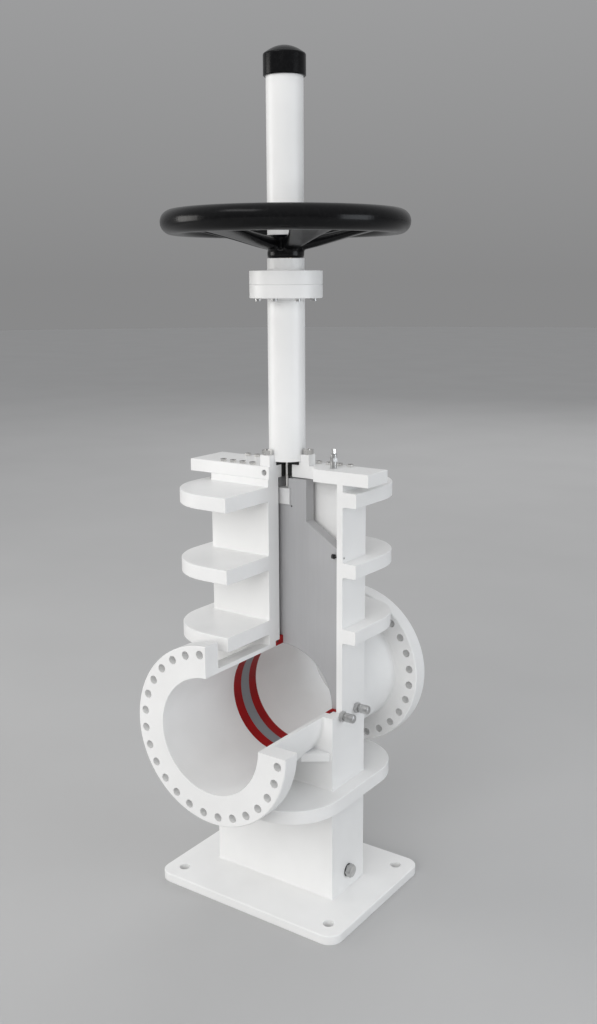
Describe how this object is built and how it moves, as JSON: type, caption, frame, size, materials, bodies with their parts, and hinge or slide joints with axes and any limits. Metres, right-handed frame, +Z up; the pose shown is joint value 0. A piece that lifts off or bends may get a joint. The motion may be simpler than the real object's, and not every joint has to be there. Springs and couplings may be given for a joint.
{
  "type": "sectioned knife gate valve",
  "caption": "Cut-away flanged slab gate valve on a base plate: a handwheel drives a rising stem that slides the ported gate between two seats.",
  "frame": {"origin": "middle of the base plate's underside, on the stem's axis", "axes": "+Z up along the stem, +Y along the pipe from the cut-away flange to the whole one, +X to the side with the fittings"},
  "size_m": [0.252, 0.2776, 0.89],
  "materials": {
    "white_paint": "satin",
    "machined_steel": "fine machined",
    "bright_steel": "ground",
    "light_steel": "fine ground",
    "zinc": "zinc plated",
    "seat_red": "smooth",
    "seal_black": "smooth",
    "gland_black": "black oxide",
    "black_gloss": "gloss",
    "bronze": "machined"
  },
  "bodies": {
    "frame": {"base_plate": "white_paint", "front_plate": "white_paint", "rear_plate": "white_paint", "left_wall": "white_paint", "right_wall": "white_paint", "body_rib_1": "white_paint", "body_rib_2": "white_paint", "body_rib_3": "white_paint", "body_rib_4": "white_paint", "front_pipe": "white_paint", "rear_pipe": "white_paint", "front_flange": "white_paint", "rear_flange": "white_paint", "corner_gussets": "white_paint", "front_seat_ring": "seat_red", "rear_seat_ring": "seat_red", "front_seat_o_ring": "seal_black", "rear_seat_o_ring": "seal_black", "bonnet": "white_paint", "bonnet_screws": "bright_steel", "stop_screws": "gland_black", "packing_rings": "seal_black", "gland_follower": "gland_black", "gland_screws": "gland_black", "yoke_foot": "white_paint", "yoke_tube": "white_paint", "yoke_nuts": "bright_steel", "yoke_studs": "bright_steel", "yoke_top_flange": "white_paint", "bearing_housing": "white_paint", "housing_screws": "zinc", "lower_housing_washer": "bright_steel", "upper_housing_washer": "bright_steel", "front_seat_fitting": "zinc", "rear_seat_fitting": "zinc", "front_fitting_cap": "zinc", "rear_fitting_cap": "zinc", "drain_plug": "zinc", "drain_washer": "seal_black", "vent_valve": "zinc", "vent_screw": "bright_steel"},
    "wheel": {"handwheel": "black_gloss", "stem_nut": "bronze", "wheel_key": "bright_steel", "wheel_lock_nut": "zinc", "lower_shaft_washer": "bright_steel", "upper_shaft_washer": "bright_steel", "stem_protector": "white_paint", "end_cap": "black_gloss"},
    "gate": {"gate": "machined_steel", "gate_nut": "light_steel", "nut_lock_screw": "gland_black", "stem": "bright_steel"},
    "lower_cage": {"lower_ball_cage": "bright_steel"},
    "upper_cage": {"upper_ball_cage": "bright_steel"}
  },
  "joints": [
    {"name": "wheel_turn", "type": "hinge", "parent": "frame", "child": "wheel", "pos_m": [0, 0, 0.7], "axis": [0, 0, 1], "range_deg": [-23760, 0]},
    {"name": "gate_slide", "type": "slide", "parent": "frame", "child": "gate", "axis": [0, 0, 1], "range_m": [-0.1321, 0]},
    {"name": "lower_cage_turn", "type": "hinge", "parent": "frame", "child": "lower_cage", "pos_m": [0, 0, 0.666], "axis": [0, 0, 1], "range_deg": [-11890, 0]},
    {"name": "upper_cage_turn", "type": "hinge", "parent": "frame", "child": "upper_cage", "pos_m": [0, 0, 0.677], "axis": [0, 0, 1], "range_deg": [-11890, 0]}
  ],
  "couplings": [
    {"joint": "gate_slide", "follows": "wheel_turn", "m_per_rad": 0.00031831},
    {"joint": "lower_cage_turn", "follows": "wheel_turn", "ratio": 0.5},
    {"joint": "upper_cage_turn", "follows": "wheel_turn", "ratio": 0.5}
  ]
}
